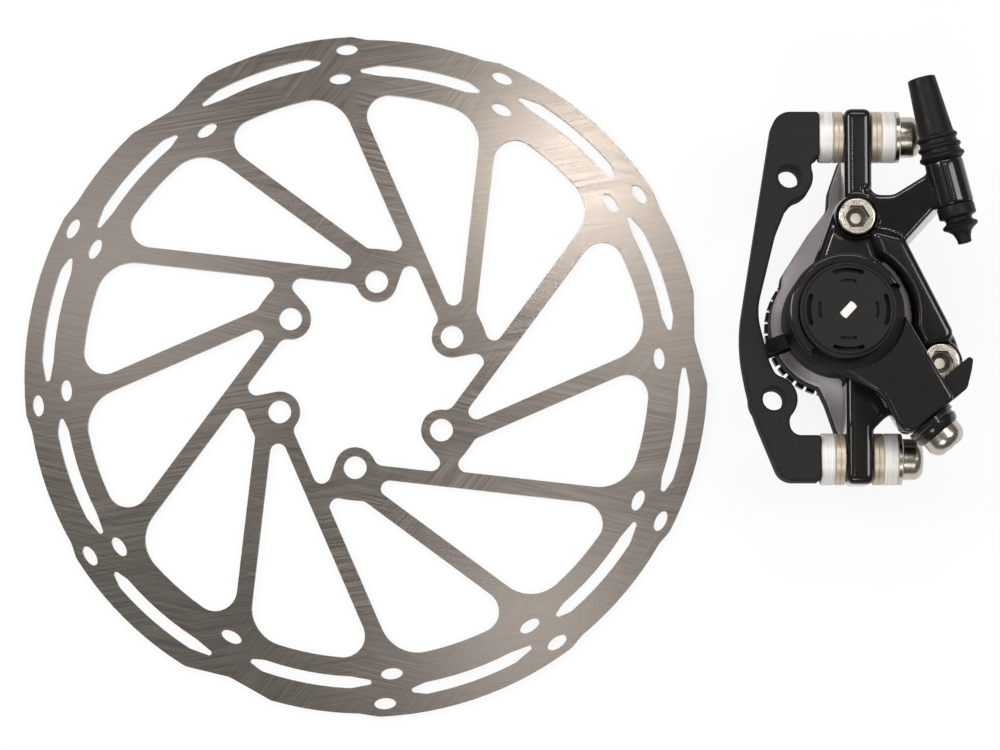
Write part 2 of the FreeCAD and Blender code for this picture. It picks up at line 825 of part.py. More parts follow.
def make_arm():
    """Brake arm with a cupped hub, a waisted blade and a cable guide."""
    hub = softened(disc(arm_hub_radius, arm_low, arm_top), arm_edge, arm_top)
    shoulder = arm_hub_radius - arm_shoulder
    blade = rounded([
        (0.0, shoulder, arm_corner),
        (arm_reach, arm_right, arm_corner),
        (arm_reach, -arm_left, 2 * arm_corner),
        (0.86 * arm_reach, -arm_left, 0.12 * arm_reach),
        (0.64 * arm_reach, -arm_waist, 0.2 * arm_reach),
        (0.3 * arm_reach, -0.74 * arm_hub_radius, 0.1 * arm_reach),
        (0.0, -shoulder, arm_corner),
    ])
    plate = softened(slab(blade, arm_low, arm_top), arm_edge, arm_top)
    end = rounded([
        (arm_reach, arm_right, arm_corner),
        (arm_reach, -arm_left, 2 * arm_corner),
        (arm_reach - arm_block, arm_edge - arm_left, arm_corner),
        (arm_reach - arm_block, arm_right, arm_corner),
    ])
    root = arm_right - guide_lap
    guide = rounded([
        (arm_reach, root, guide_corner),
        (arm_reach - guide_width, root, guide_corner),
        (arm_reach - guide_width, guide_reach - guide_corner, guide_corner / 2),
        (arm_reach - guide_width + guide_corner, guide_reach, guide_corner),
        (arm_reach - guide_width / 2, guide_reach - guide_lap, guide_lap),
        (arm_reach, arm_right + 2 * guide_lap, guide_lap),
    ])
    middle = arm_low + arm_thickness / 2 - arm_end_depth / 2
    fin = slab(guide, middle - guide_thickness / 2, middle + guide_thickness / 2)
    block_end = slab(end, arm_low - arm_end_depth, arm_top - arm_edge)
    arm = joined([hub, arm_turned(plate), arm_turned(block_end), arm_turned(fin)])
    pocket = disc(outer_knob_radius + running_gap, arm_low + arm_floor, arm_top)
    seat = disc(spindle_radius + fit, arm_low, arm_top)
    hole = rod(clamp_bolt_radius + fit, arm_point(arm_reach - clamp_bolt_depth - 1, middle),
               arm_point(arm_reach, middle))
    crescent = arc_slot(outer_knob_radius + running_gap + crescent_width / 4, arm_angle, crescent_span,
                        crescent_width, arm_low + arm_floor, arm_top)
    return arm.cut([pocket, seat, hole, crescent]).removeSplitter()


def clamp_place():
    """Middle of the arm's end face, where the cable clamp sits."""
    return arm_point(arm_reach, arm_low + arm_thickness / 2 - arm_end_depth / 2)


def make_clamp_washer():
    """Grooved washer that pinches the cable against the arm's end."""
    third = clamp_thickness / 3
    points = [(clamp_bolt_radius + fit, 0), (clamp_radius, 0), (clamp_radius, third)]
    points += [(clamp_radius - clamp_groove, third), (clamp_radius - clamp_groove, 1.5 * third)]
    points += [(clamp_radius - 0.2, 1.5 * third), (clamp_radius - 0.4, 2.4 * third)]
    points += [(clamp_radius - 0.8, clamp_thickness), (clamp_bolt_radius + fit, clamp_thickness)]
    return aimed(spun(points), clamp_place(), at(arm_angle, 1))


def make_clamp_bolt():
    """Domed bolt that tightens the cable clamp."""
    top = clamp_thickness + clamp_head_height
    head = softened(disc(clamp_head_radius, clamp_thickness, top), clamp_head_rounding, top)
    bolt = joined([head, disc(clamp_bolt_radius, -clamp_bolt_depth, clamp_thickness)])
    bolt = bolt.cut(hexagon(hex_key, top - hex_depth, top))
    return aimed(bolt, clamp_place(), at(arm_angle, 1))


def make_outer_knob():
    """Finger knob with a stepped rim, arc recesses and a slot for the screw."""
    step = knob_top - outer_knob_step
    rim = disc(outer_knob_radius, knob_low, step)
    cap = disc(outer_knob_radius - outer_knob_step, step, knob_top)
    knob = softened(softened(rim.fuse(cap).removeSplitter(), knob_edge, knob_top), knob_edge / 2, step)
    cutters = []
    for i in range(4):
        turn = 90.0 * i
        cutters.append(arc_slot(mark_radius, turn, mark_span, mark_width, knob_top - mark_depth, knob_top))
        cutters.append(arc_slot(grip_radius, turn, grip_span, grip_width, knob_top - grip_depth, knob_top))
    half = screw_flat / 2 + running_gap / 2
    bore = disc(screw_radius + fit, knob_low, knob_top)
    cutters.append(turned(bore.common(block(-screw_radius, screw_radius, -half, half, knob_low, knob_top)),
                           screw_slot_angle))
    return knob.cut(cutters)


def make_foot_screw():
    """Screw under the outer knob, with flats that the knob's slot drives."""
    screw = disc(screw_radius, thrust_low + thrust_thickness + running_gap, knob_top - running_gap)
    half = screw_flat / 2
    flats = block(-screw_radius, screw_radius, -half, half, knob_low - fit, knob_top)
    shaft = disc(screw_radius, 0, knob_low - fit)
    return screw.common(turned(flats, screw_slot_angle).fuse(shaft))


def make_inner_knob():
    """Inboard knob with square teeth round its rim and a stem into the housing."""
    low = tooth_margin
    high = inner_knob_height - tooth_margin
    body = softened(disc(inner_knob_radius, 0, inner_knob_height), knob_edge, 0)
    outer = inner_knob_radius + tooth_height
    tooth = block(inner_knob_radius - 1, outer, -tooth_width / 2, tooth_width / 2, low, high)
    teeth = [turned(tooth, i * 360.0 / tooth_count) for i in range(tooth_count)]
    stem = disc(inner_stem_radius, inner_knob_height, inner_foot_low - fit)
    knob = joined([body, stem] + teeth)
    half = grip_bar / 2
    dish = ring(inner_knob_radius - dish_wall, inner_stem_radius, 0, dish_depth)
    grip = turned(block(-inner_knob_radius, inner_knob_radius, -half, half, 0, dish_depth), screw_slot_angle)
    return knob.cut(dish.cut(grip))


def pad_plate(low, high):
    """Steel backing plate with a pull tab."""
    half = tab_width / 2
    tab = rounded([(0, half, fit), (0, -half, fit),
                   (tab_reach, -half, tab_corner), (tab_reach, half, tab_corner)])
    return joined([disc(pad_radius, low, high), turned(slab(tab, low, high), tab_angle)])


def grooves(side):
    """Curved ball tracks about the z axis, running to one side of the balls' rest places."""
    radius = ball_radius + running_gap / 3
    margin = math.degrees(math.asin((ball_radius + running_gap) / ball_circle))
    span = cam_turn / 2 + 2 * margin
    middle = Vector(0, 0, ball_height)
    start = side * cam_turn / 4 - span / 2
    track = turned(Part.makeTorus(ball_circle, radius, middle, Z, 0, 360, span), start)
    return [turned(track, i * 360.0 / ball_count) for i in range(ball_count)]


def make_fixed_cam():
    """Cam ring held under the housing roof, with a ball track for each ball."""
    cam = ring(barrel_bore - fit, spindle_radius + running_gap, fixed_cam_low, roof_low)
    return cam.cut(grooves(1))


def ball_solid(index, extra):
    """One ball in its rest place."""
    spot = at(index * 360.0 / ball_count, ball_circle, ball_height)
    return Part.makeSphere(ball_radius + extra, spot)


def make_drive_cam():
    """Cam that turns with the arm on its hollow spindle."""
    flange = disc(barrel_bore - running_gap, drive_cam_low, drive_cam_top)
    spindle = disc(spindle_radius, drive_cam_top, arm_low + arm_floor)
    cam = joined([flange, spindle]).cut(disc(screw_radius + running_gap, drive_cam_low, knob_top))
    return cam.cut(grooves(-1))


def make_ball_cage():
    """Flat ring that keeps the balls apart."""
    half = cage_thickness / 2
    cage = ring(barrel_bore - running_gap, spindle_radius + running_gap,
                ball_height - half, ball_height + half)
    return cage.cut([ball_solid(i, fit) for i in range(ball_count)])


def save(name, shape, on_caliper=True):
    """Write one sub-part, moving caliper pieces to their place beside the rotor."""
    placed = shape.copy()
    if on_caliper:
        placed.translate(Vector(pivot_x, pivot_y, 0))
    placed.exportStep("parts/" + name + ".step")


os.makedirs("parts", exist_ok=True)
save("rotor", make_rotor(), on_caliper=False)
save("mount_bracket", make_bracket())
for number, (place, direction) in enumerate(washer_places(), 1):
    save("convex_washer_%d" % number, aimed(make_convex_washer(), place, direction))
    save("concave_washer_%d" % number, aimed(make_concave_washer(), place, direction))
save("mount_bolt_upper", make_mount_bolt(upper_post))
save("mount_bolt_lower", make_mount_bolt(lower_post))
for number, place in enumerate(body_bolt_places, 1):
    save("body_bolt_%d" % number, make_body_bolt(place))
save("outboard_housing", make_outboard_housing())
save("inboard_housing", make_inboard_housing())
save("cable_boot", make_boot())
save("cable_nipple", make_nipple())
save("brake_arm", make_arm())
save("clamp_washer", make_clamp_washer())
save("clamp_bolt", make_clamp_bolt())
save("outer_knob", make_outer_knob())
save("foot_screw", make_foot_screw())
save("inner_knob", make_inner_knob())
save("detent_ring", ring(inner_knob_radius - dish_wall, inner_stem_radius + running_gap,
                         inner_knob_height, inboard_floor))
save("fixed_cam", make_fixed_cam())
save("drive_cam", make_drive_cam())
save("ball_cage", make_ball_cage())
for number in range(ball_count):
    save("cam_ball_%d" % (number + 1), ball_solid(number, 0))
save("thrust_washer", ring(thrust_radius, screw_radius + running_gap, thrust_low,
                           thrust_low + thrust_thickness))
save("outer_foot", disc(foot_radius, outer_foot_low, thrust_low))
save("outer_pad_plate", pad_plate(outer_plate_low, outer_foot_low))
save("outer_lining", disc(lining_radius, slot_high + pad_recess, outer_plate_low))
save("inner_foot", disc(foot_radius, inner_foot_low, inner_foot_top))
save("inner_pad_plate", pad_plate(inner_foot_top, inner_plate_top))
save("inner_lining", disc(lining_radius, inner_plate_top, slot_low - pad_recess))
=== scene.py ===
"""Looks of a bicycle disc brake set: rotor and cable-pull caliper, dressed around its solid model."""
import math

import bpy
from bpy.props import FloatProperty, FloatVectorProperty, IntProperty, PointerProperty
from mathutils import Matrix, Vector


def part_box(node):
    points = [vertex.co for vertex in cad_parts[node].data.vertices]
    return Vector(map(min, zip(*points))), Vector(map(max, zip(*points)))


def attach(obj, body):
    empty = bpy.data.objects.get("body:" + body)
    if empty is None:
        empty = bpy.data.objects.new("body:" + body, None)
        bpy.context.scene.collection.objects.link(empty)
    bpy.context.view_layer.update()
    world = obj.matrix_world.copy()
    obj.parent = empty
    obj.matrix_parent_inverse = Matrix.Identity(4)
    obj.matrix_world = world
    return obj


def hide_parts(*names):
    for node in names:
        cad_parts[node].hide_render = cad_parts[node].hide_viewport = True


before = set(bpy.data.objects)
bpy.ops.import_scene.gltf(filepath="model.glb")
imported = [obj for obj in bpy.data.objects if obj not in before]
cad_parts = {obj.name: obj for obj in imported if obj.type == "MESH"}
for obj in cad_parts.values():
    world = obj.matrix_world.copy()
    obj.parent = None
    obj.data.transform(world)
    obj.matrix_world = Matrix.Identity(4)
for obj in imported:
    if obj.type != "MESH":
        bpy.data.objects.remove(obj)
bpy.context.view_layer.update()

bl_info = {
    "name": "Disc brake looks",
    "version": (1, 0, 0),
    "blender": (4, 5, 0),
    "location": "3D View > Sidebar > Brake",
    "description": "Finishes and fine forms of a bicycle disc brake set",
    "category": "Object",
}

MM = 0.001
UP = Vector((0, 0, 1))
ALONG_X = Vector((1, 0, 0))

# Tolerances of the mesh work
WELD = 1e-6
AXIS_WELD = 1e-7
SAME_PLANE = math.radians(0.4)
LEVEL = 0.9999

# A key socket's drilled point and reach, as shares of the size across flats
POINT_DEPTH = 0.2
POINT_FLAT = 0.24
POINT_MOUTH = 0.46
SOCKET_REACH = 0.51

# How its faces are told apart: shares of its depth, and shares of their normals along the bolt
SOCKET_TOP = 0.1
SOCKET_BOTTOM = 1.05
WALL_LEAN = 0.3
BOTTOM_LEAN = 0.95

# Which faces of the housings and the arm get another finish, by the upward share of their normal: the
# machined face, a painted sheen on the floor right of the barrel, and painted shade on the steep sides round
# the barrel and the arm's pivot
UPWARD = 0.9
FACE_UPWARD = 0.2
CAST_STEEP = 0.6
ARM_STEEP = 0.5
FLOOR_BAND = 0.3 * MM
RIGHTWARD = 0.6

# Strength of one smoothing pass over the casting
CAST_BLEND = 0.5

# A washer's bore as a share of its radius, and the clamp ring's play round its bolt
WASHER_BORE = 0.56
CLAMP_PLAY = 0.05 * MM

# The ribbed boot's ribs, and how far its wide end and its valleys lie inside them
BOOT_RIBS = 3
BOOT_MOUTH = 0.8 * MM
BOOT_VALLEY = 0.1 * MM

# Outline of the flared boot in millimetres: radius, and distance from the end of the cable stop
FLARED_OUTLINE = (
    (2.35, 0), (4.1, 0), (4.3, -0.2), (4.3, -2.4), (4.1, -2.6), (3.2, -2.9), (3.0, -3.4), (3.2, -3.9),
    (3.9, -4.3), (4.1, -4.7), (3.9, -5.1), (3.0, -5.6), (2.2, -6.3), (1.8, -7.2), (1.6, -8.0), (1.6, -8.6),
    (1.4, -8.8),
)

# Clear coat, and the shades and the bump of bare metal
COAT_WEIGHT = 0.9
COAT_IOR = 1.45
METAL_SHADES = (0.84, 1.1)
METAL_STRENGTH = 0.4
TURNED = 5e-6
POLISHED = 5e-7

# Stretch of the rotor's grinding marks per metre, and their direction in degrees
GRINDING = (((40, 2000, 40), -9), ((50, 2300, 50), 13), ((60, 2500, 60), -52))

FLOOR_SIZE = 4.0
FLOOR_PLACE = (0.03, 0.0, -0.2 * MM)
FLOOR_GLOW = 0.88
WORLD_STRENGTH = 0.15

# The camera's sensor in millimetres, and its near and far clip in metres
SENSOR_WIDTH = 36.0
CLIP = (0.05, 20.0)

WHITE = (1.0, 1.0, 1.0)
WARM = (1.0, 0.97, 0.94)
WARMER = (1.0, 0.95, 0.89)

# Name, place, width, height, power and tone of each lamp. The cards are mirrored in the rotor's flat face.
LAMPS = (
    ("left_softbox", (-0.75, 0.25, 0.98), 0.4, 0.5, 6.6, WHITE),
    ("right_softbox", (0.68, 0.15, 1.05), 0.35, 0.55, 5.0, WHITE),
    ("back_softbox", (0.1, 0.8, 1.1), 0.7, 0.3, 4.2, WHITE),
    ("front_softbox", (-0.05, -0.75, 1.0), 0.5, 0.35, 4.0, WHITE),
    ("bright_card", (0.077, 0.258, 1.5), 0.05, 0.06, 0.42, WARMER),
    ("gloss_card", (0.33, 0.28, 1.5), 0.16, 0.16, 0.03, WHITE),
    ("left_card", (-0.205, 0.2, 1.5), 0.14, 0.16, 0.19, WARM),
    ("right_card", (0.053, -0.02, 1.5), 0.1, 0.08, 0.16, WARM),
    ("edge_card", (0.142, 0.16, 1.5), 0.08, 0.1, 0.085, WARM),
)


def length(name, description, millimetres):
    """Property that holds a length."""
    return FloatProperty(name=name, description=description, default=millimetres * MM,
                         subtype="DISTANCE", unit="LENGTH", precision=5)


def colour(name, description, red, green, blue):
    """Property that holds a colour."""
    return FloatVectorProperty(name=name, description=description, default=(red, green, blue),
                               subtype="COLOR", min=0.0, max=1.0)


class BrakeSizes(bpy.types.PropertyGroup):
    """Sizes of the fine forms that the looks add."""
    rotor_edge: length("Rotor edge", "Break of the rotor's cut edges", 0.12)
    bracket_edge: length("Bracket edge", "Rounding of the bracket's chamfers", 0.14)
    cast_grain: length("Cast grain", "Voxel size of the cast housing", 0.3)
    cast_passes: IntProperty(name="Cast passes", description="Smoothing passes over the cast housing",
                             default=14, min=0, max=30)
    cast_share: FloatProperty(name="Cast share", description="Share of the casting's faces that are kept",
                              default=0.3, min=0.05, max=1.0, subtype="FACTOR")
    # The floor round the barrel also bounds the painted sheen and the painted shade on the casting and the
    # arm
    painted_sheen_floor: length("Barrel floor", "Height of the flat floor round the barrel", 31.0)
    barrel_reach: length("Barrel reach", "Radius of the flat floor round the barrel", 16.2)
    half_edge: length("Inboard edge", "Rounding of the inboard half's edges", 0.4)
    arm_edge: length("Arm edge", "Rounding of the arm's edges", 0.7)
    knob_edge: length("Knob edge", "Rounding of the knobs' moulded edges", 0.16)
    washer_edge: length("Washer edge", "Chamfer of the washers' rims", 0.22)
    washer_groove: length("Washer groove", "Turned groove round the dished washers", 0.12)
    bolt_edge: length("Bolt edge", "Break of the bolts' machined edges", 0.12)
    flange: length("Bolt flange", "Thickness of the mount bolts' flange", 1.0)
    flange_radius: length("Flange radius", "Radius of the mount bolts' flange", 5.9)
    mount_head: length("Mount bolt head", "Height of the mount bolts' head", 4.8)
    mount_head_radius: length("Mount bolt head radius", "Radius of the mount bolts' head", 4.7)
    mount_dome: length("Mount bolt dome", "Rounding of the mount bolts' head", 2.2)
    body_dome: length("Body bolt rounding", "Rounding of the body bolts' head", 0.5)
    clamp_dome: length("Clamp bolt dome", "Rounding of the clamp bolt's head", 3.0)
    clamp_head: length("Clamp bolt head", "Height of the clamp bolt's head", 4.6)
    clamp_head_radius: length("Clamp bolt head radius", "Radius of the clamp bolt's head", 4.65)
    clamp_tip: length("Clamp bolt tip", "From the clamp bolt's seat to its tip", 11.6)
    clamp_ring: length("Clamp ring", "Thickness of the cable clamp's ring", 3.6)
    clamp_radius: length("Clamp ring radius", "Radius of the cable clamp's ring", 5.8)
    washer_dome: length("Washer dome", "Rise of the washers' domed side", 0.51)
    body_head: length("Body bolt head", "Height of the body bolts' head", 5.0)
    shank: length("Bolt shank", "Radius of the bolts' shank", 3.0)
    clamp_shank: length("Clamp bolt shank", "Radius of the clamp bolt's shank", 2.5)
    hex_key: length("Hex key", "Size across flats of the bolts' sockets", 5.0)
    hex_depth: length("Hex depth", "Depth of the bolts' sockets", 3.0)
    boot_length: length("Boot length", "Length of the ribbed boot", 19.5)
    boot_rib: length("Boot rib", "Radius of the boot's largest rib", 5.2)
    boot_tip: length("Boot tip", "Radius of the boot's narrow end", 3.2)
    boot_lip: length("Boot lip", "Rounding of the boot's narrow end", 0.4)
    boot_bead: length("Boot bead", "Radius of the ribs' round edges", 0.6)
    boot_first: length("First rib", "From the boot's wide end to its first rib", 1.0)
    boot_pitch: length("Rib pitch", "From one rib of the boot to the next", 2.2)
    boot_taper: length("Rib taper", "What each rib is smaller than the one before", 0.25)
    boot_socket: length("Boot socket", "Radius of the boot's socket over the cable stop", 3.45)
    boot_socket_depth: length("Boot socket depth", "Depth of the boot's socket", 4.05)
    cable_bore: length("Cable bore", "Radius of the outer cable's bore", 2.6)
    nipple_bore: length("Nipple bore", "Radius of the bare cable's bore", 1.1)
    nipple_socket_depth: length("Nipple socket depth", "Depth of the flared boot's socket", 2.05)


class BrakePlaces(bpy.types.PropertyGroup):
    """Places and directions of the tilted pieces and of the camera."""
    cable_top: FloatVectorProperty(name="Cable stop", description="Top of the cable stop on its line",
                                   default=(0.1317, 0.0454, 0.037), subtype="XYZ", unit="LENGTH")
    cable_angle: FloatProperty(name="Cable angle", description="Direction of the cable's line",
                               default=math.radians(104.3), subtype="ANGLE")
    stop_length: length("Stop length", "Length of the cable stop", 10.5)
    clamp: FloatVectorProperty(name="Cable clamp", description="Middle of the arm's end face",
                               default=(0.127766, -0.013493, 0.0391), subtype="XYZ", unit="LENGTH")
    arm_angle: FloatProperty(name="Arm angle", description="Direction of the brake arm",
                             default=math.radians(-50.5), subtype="ANGLE")
    aim: FloatVectorProperty(name="Camera aim", description="Point on the floor that the camera looks at",
                             default=(0.0314, 0.0, 0.0), subtype="XYZ", unit="LENGTH")
    camera_distance: FloatProperty(name="Camera distance", description="From the aim to the camera",
                                   default=0.93, subtype="DISTANCE", unit="LENGTH")
    camera_height: FloatProperty(name="Camera elevation", description="Angle of the camera over the floor",
                                 default=math.radians(85.0), subtype="ANGLE")
    lens: FloatProperty(name="Lens", description="Focal length in millimetres", default=142.7,
                        subtype="DISTANCE_CAMERA", unit="CAMERA")


class BrakeColours(bpy.types.PropertyGroup):
    """Colours of the finishes."""
    steel_dark: colour("Rotor steel, dark", "Ground steel between the scratches", 0.148, 0.131, 0.118)
    steel_light: colour("Rotor steel, light", "Bright scratches of the ground steel", 0.285, 0.255, 0.232)
    anodised: colour("Black anodised", "Bracket", 0.0262, 0.0247, 0.0247)
    gloss_black: colour("Gloss black", "Cast housing", 0.009, 0.0078, 0.0075)
    arm_black: colour("Arm black", "Brake arm", 0.0085, 0.0077, 0.0072)
    machined_grey: colour("Machined grey", "Flat face of the inboard half", 0.84, 0.77, 0.785)
    plastic: colour("Black plastic", "Knobs", 0.0105, 0.0096, 0.0092)
    # Also painted shade: the steep sides round the barrel and the arm's pivot are darkened and dulled with it
    side_black_and_painted_shade: colour("Side black", "Dull steep sides of the housings and the arm", 0.006, 0.0054, 0.0052)
    rubber: colour("Black rubber", "Cable boots", 0.0066, 0.0058, 0.0055)
    # Painted sheen: a lighter grey that stands in for the reflection on the floor right of the barrel
    painted_sheen_floor: colour("Barrel floor", "Dull floor round the barrel", 0.12, 0.108, 0.106)
    silver: colour("Silver", "Domed washers", 0.84, 0.81, 0.775)
    tan: colour("Warm nickel", "Dished washers", 0.58, 0.5, 0.395)
    bolt: colour("Bolt steel", "Polished bolts", 0.54, 0.495, 0.435)
    plain: colour("Plain steel", "Inner parts", 0.45, 0.44, 0.43)
    compound: colour("Pad compound", "Friction linings", 0.085, 0.066, 0.05)
    floor: colour("Floor", "Studio floor", 0.93, 0.93, 0.93)


def deselect():
    """Leave edit mode and clear the selection."""
    if bpy.context.object and bpy.context.object.mode != "OBJECT":
        bpy.ops.object.mode_set(mode="OBJECT")
    bpy.ops.object.select_all(action="DESELECT")


def take(piece):
    """Make one piece the only selected and active one."""
    deselect()
    piece.select_set(True)
    bpy.context.view_layer.objects.active = piece


def edit_all(piece):
    """Open a piece in edit mode with everything selected."""
    take(piece)
    bpy.ops.object.mode_set(mode="EDIT")
    bpy.ops.mesh.select_all(action="SELECT")


def modified(piece, kind, **settings):
    """Add a modifier and apply it."""
    take(piece)
    modifier = piece.modifiers.new(kind, kind)
    for name, value in settings.items():
        setattr(modifier, name, value)
    bpy.ops.object.modifier_apply(modifier=modifier.name)


def bevelled(piece, width, segments=2, angle=28.0):
    """Round the edges that are sharper than an angle."""
    modified(piece, "BEVEL", width=width, segments=segments, limit_method="ANGLE",
             angle_limit=math.radians(angle), use_clamp_overlap=True)


def smoothed(piece, angle=32.0):
    """Shade smooth with crisp edges, the normals leaning to the large faces."""
    take(piece)
    bpy.ops.object.shade_smooth_by_angle(angle=math.radians(angle))
    modified(piece, "WEIGHTED_NORMAL", keep_sharp=True)


def flat_faced(piece, angle=32.0):
    """Shade smooth with crisp edges, and keep the level faces truly flat."""
    take(piece)
    bpy.ops.object.shade_smooth_by_angle(angle=math.radians(angle))
    normals = [corner.vector.copy() for corner in piece.data.corner_normals]
    for polygon in piece.data.polygons:
        if abs(polygon.normal.z) > LEVEL:
            for corner in polygon.loop_indices:
                normals[corner] = UP if polygon.normal.z > 0 else -UP
    piece.data.normals_split_custom_set(normals)


def traced(node, name):
    """New piece from a node's mesh, welded and with whole flat faces."""
    piece = bpy.data.objects.new(name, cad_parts[node].data.copy())
    bpy.context.scene.collection.objects.link(piece)
    piece.data.materials.clear()
    take(piece)
    bpy.ops.mesh.customdata_custom_splitnormals_clear()
    edit_all(piece)
    bpy.ops.mesh.remove_doubles(threshold=WELD)
    bpy.ops.mesh.dissolve_limited(angle_limit=SAME_PLANE)
    bpy.ops.object.mode_set(mode="OBJECT")
    return piece


def spun(name, profile, place, direction, steps=96):
    """Piece turned about a line from a closed loop of (radius, distance) points."""
    deselect()
    bpy.ops.mesh.primitive_circle_add(vertices=len(profile), radius=MM, fill_type="NOTHING")
    piece = bpy.context.object
    piece.name = name
    for vertex, (radius, along) in zip(piece.data.vertices, profile):
        vertex.co = (radius, 0.0, along)
    edit_all(piece)
    bpy.ops.mesh.spin(steps=steps, angle=2 * math.pi, center=(0, 0, 0), axis=(0, 0, 1))
    bpy.ops.mesh.select_all(action="SELECT")
    bpy.ops.mesh.remove_doubles(threshold=AXIS_WELD)
    bpy.ops.mesh.delete_loose()
    bpy.ops.mesh.select_all(action="SELECT")
    bpy.ops.mesh.normals_make_consistent(inside=False)
    bpy.ops.object.mode_set(mode="OBJECT")
    settle(piece, place, direction)
    return piece


def settle(piece, place, direction):
    """Turn a piece made along z to a direction, move it to its place and apply both."""
    piece.rotation_mode = "QUATERNION"
    piece.rotation_quaternion = UP.rotation_difference(direction)
    piece.location = place
    take(piece)
    bpy.ops.object.transform_apply(location=True, rotation=True, scale=True)


def socketed(piece, across, depth, end, direction):
    """Cut a hexagonal key socket with a blunt drilled point into the end of a bolt head."""
    point = POINT_DEPTH * across
    overlap = 0.01 * point
    deselect()
    bpy.ops.mesh.primitive_cylinder_add(vertices=6, radius=across / math.sqrt(3), depth=2 * depth,
                                        rotation=(0, 0, math.radians(30)))
    bpy.ops.object.transform_apply(location=False, rotation=True, scale=False)
    socket = bpy.context.object
    settle(socket, end, direction)
    deselect()
    bpy.ops.mesh.primitive_cone_add(vertices=48, radius1=POINT_FLAT * across, radius2=POINT_MOUTH * across,
                                    depth=point)
    drill = bpy.context.object
    settle(drill, end - direction * (depth + point / 2 - overlap), direction)
    for cutter in (socket, drill):
        modified(piece, "BOOLEAN", object=cutter, operation="DIFFERENCE", solver="EXACT")
        bpy.data.objects.remove(cutter)


def shade_socket(piece, across, depth, end, direction):
    """Paint shade on the walls and the floor of a key socket, and a highlight on its drilled point."""
    for look in ("socket_wall_painted_shade", "socket_floor_painted_shade", "socket_point_painted_highlight"):
        piece.data.materials.append(material_named(look))
    wall, floor, point = 1, 2, 3
    for polygon in piece.data.polygons:
        offset = polygon.center - end
        along = offset.dot(direction)
        beside = (offset - direction * along).length
        lean = abs(polygon.normal.dot(direction))
        if beside < SOCKET_REACH * across and along < -SOCKET_TOP * depth:
            if lean < WALL_LEAN:
                polygon.material_index = wall
            elif lean > BOTTOM_LEAN and along < -SOCKET_BOTTOM * depth:
                polygon.material_index = point
            else:
                polygon.material_index = floor


def arc(radius, along, size, start, stop, steps=6):
    """Profile points round an arc about (radius, along), angles in degrees from outward to the end."""
    points = []
    for i in range(steps + 1):
        turn = math.radians(start + (stop - start) * i / steps)
        points.append((radius + size * math.cos(turn), along + size * math.sin(turn)))
    return points


def flat_direction(angle):
    """Level direction at an angle from the x axis."""
    return Vector((math.cos(angle), math.sin(angle), 0.0))


def middle(node):
    """Middle of a node's box."""
    low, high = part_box(node)
    return (low + high) / 2


def hand_over(piece, body, slot, material, *nodes):
    """Give a finished piece its material and body, and hide the nodes that it stands for; its slot is not
    used.
    """
    piece.data.materials.clear()
    piece.data.materials.append(material)
    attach(piece, body)
    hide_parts(*nodes)


def level_offset(polygon, pivot):
    """Level way from the barrel's axis to the middle of a face."""
    offset = polygon.center - pivot
    offset.z = 0
    return offset


def finish(name, base, metallic, roughness, specular=None, coat=None):
    """New node material with plain values on its shader, under a clear coat if it is given a roughness."""
    material = bpy.data.materials.new(name)
    material.use_nodes = True
    inputs = material.node_tree.nodes["Principled BSDF"].inputs
    inputs["Base Color"].default_value = (*base, 1.0)
    inputs["Metallic"].default_value = metallic
    inputs["Roughness"].default_value = roughness
    if specular is not None:
        inputs["Specular IOR Level"].default_value = specular
    if coat is not None:
        inputs["Coat Weight"].default_value = COAT_WEIGHT
        inputs["Coat Roughness"].default_value = coat
        inputs["Coat IOR"].default_value = COAT_IOR
    return material


def grain(material, scale, turn=(0.0, 0.0, 0.0), detail=2.0):
    """Noise over the object's coordinates, stretched by a scale per metre and turned in degrees."""
    nodes, links = material.node_tree.nodes, material.node_tree.links
    place = nodes.new("ShaderNodeTexCoord")
    aim = nodes.new("ShaderNodeMapping")
    stretch = nodes.new("ShaderNodeMapping")
    noise = nodes.new("ShaderNodeTexNoise")
    aim.inputs["Rotation"].default_value = [math.radians(a) for a in turn]
    stretch.inputs["Scale"].default_value = scale
    noise.inputs["Scale"].default_value = 1.0
    noise.inputs["Detail"].default_value = detail
    links.new(place.outputs["Object"], aim.inputs["Vector"])
    links.new(aim.outputs["Vector"], stretch.inputs["Vector"])
    links.new(stretch.outputs["Vector"], noise.inputs["Vector"])
    return noise.outputs["Fac"]


def ranged(material, source, low, high, start=0.3, stop=0.7):
    """Spread a pattern between two values."""
    node = material.node_tree.nodes.new("ShaderNodeMapRange")
    node.inputs["From Min"].default_value = start
    node.inputs["From Max"].default_value = stop
    node.inputs["To Min"].default_value = low
    node.inputs["To Max"].default_value = high
    material.node_tree.links.new(source, node.inputs["Value"])
    return node.outputs["Result"]


def blended(material, factor, first, second):
    """Mix two patterns by a third."""
    node = material.node_tree.nodes.new("ShaderNodeMix")
    links = material.node_tree.links
    links.new(factor, node.inputs[0])
    links.new(first, node.inputs[2])
    links.new(second, node.inputs[3])
    return node.outputs[0]


def tinted(material, factor, dark, light):
    """Colour the shader between two colours by a pattern."""
    node = material.node_tree.nodes.new("ShaderNodeMix")
    node.data_type = "RGBA"
    node.inputs[6].default_value = (*dark, 1.0)
    node.inputs[7].default_value = (*light, 1.0)
    links = material.node_tree.links
    links.new(factor, node.inputs[0])
    links.new(node.outputs[2], material.node_tree.nodes["Principled BSDF"].inputs["Base Color"])


def roughened(material, factor, low, high):
    """Vary the shader's roughness by a pattern."""
    result = ranged(material, factor, low, high)
    shader = material.node_tree.nodes["Principled BSDF"]
    material.node_tree.links.new(result, shader.inputs["Roughness"])


